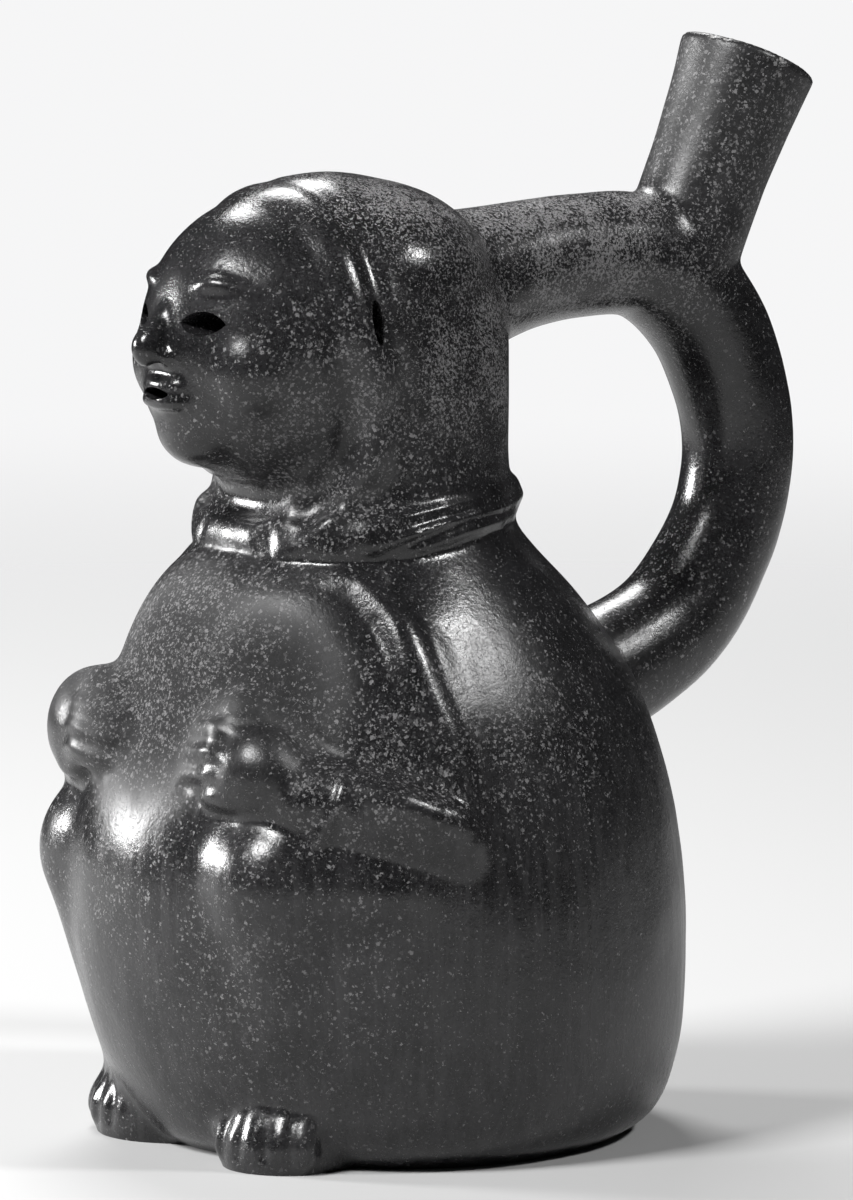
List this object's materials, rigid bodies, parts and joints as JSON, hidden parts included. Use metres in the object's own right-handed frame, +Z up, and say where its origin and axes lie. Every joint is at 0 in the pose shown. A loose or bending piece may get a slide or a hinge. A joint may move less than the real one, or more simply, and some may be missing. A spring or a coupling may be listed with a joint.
{
  "type": "effigy bottle",
  "caption": "Hollow burnished blackware bottle in the form of a seated hooded figure, with a stirrup handle and a leaning spout.",
  "frame": {"origin": "middle of the flat underside, below the figure's neck", "axes": "+Z up, the figure faces -Y, the stirrup handle and spout are behind it on +Y, +X is the figure's left"},
  "size_m": [0.1158, 0.1606, 0.2093],
  "materials": {
    "burnished_blackware": "smoke-blackened fired clay, burnished to a soft gloss, worn matt in patches"
  },
  "bodies": {
    "root": {"effigy_bottle": "burnished_blackware"}
  },
  "joints": []
}
